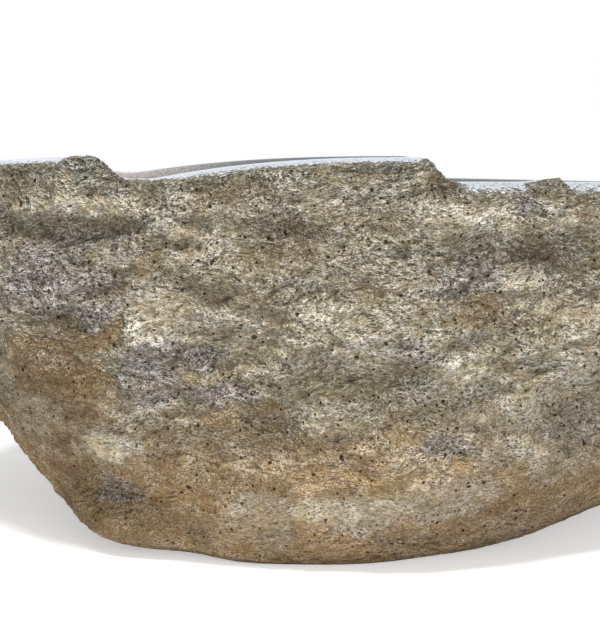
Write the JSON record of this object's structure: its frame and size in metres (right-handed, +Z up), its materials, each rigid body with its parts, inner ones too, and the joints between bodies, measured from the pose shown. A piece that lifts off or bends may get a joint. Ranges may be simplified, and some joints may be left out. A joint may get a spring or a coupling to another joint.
{
  "type": "stone fountain basin",
  "caption": "Hewn boulder basin with a rough outside, a stepped polished rim, a hollow bowl and a lift-out brass standpipe with a bubbler cap.",
  "frame": {"origin": "on the base plane, on the axis of the core hole through the bowl's floor", "axes": "+X to the right along the basin's length, +Y to the back where the supply leaves, +Z up"},
  "size_m": [0.7006, 0.5305, 0.2988],
  "materials": {
    "stone": "split and weathered outside, ground and polished on the rim and in the bowl",
    "brass": "turned, dulled by water",
    "cap_brass": "turned and fluted, satin",
    "rubber": "moulded, matte"
  },
  "bodies": {
    "basin": {"stone_basin": "stone", "flange_gasket": "rubber", "tank_connector": "brass", "under_gasket": "rubber", "thrust_washer": "brass", "lock_nut": "brass", "elbow_seal": "rubber", "supply_elbow": "brass"},
    "standpipe": {"standpipe": "brass", "standpipe_o_rings": "rubber", "cap_jam_nut": "brass"},
    "cap": {"bubbler_cap": "cap_brass"}
  },
  "joints": [
    {"name": "standpipe_lift", "type": "slide", "parent": "basin", "child": "standpipe", "axis": [0, 0, 1], "range_m": [0, 0.2]},
    {"name": "cap_turn", "type": "hinge", "parent": "standpipe", "child": "cap", "pos_m": [0, 0, 0.225], "axis": [0, 0, 1], "range_deg": [-360, 360]}
  ]
}
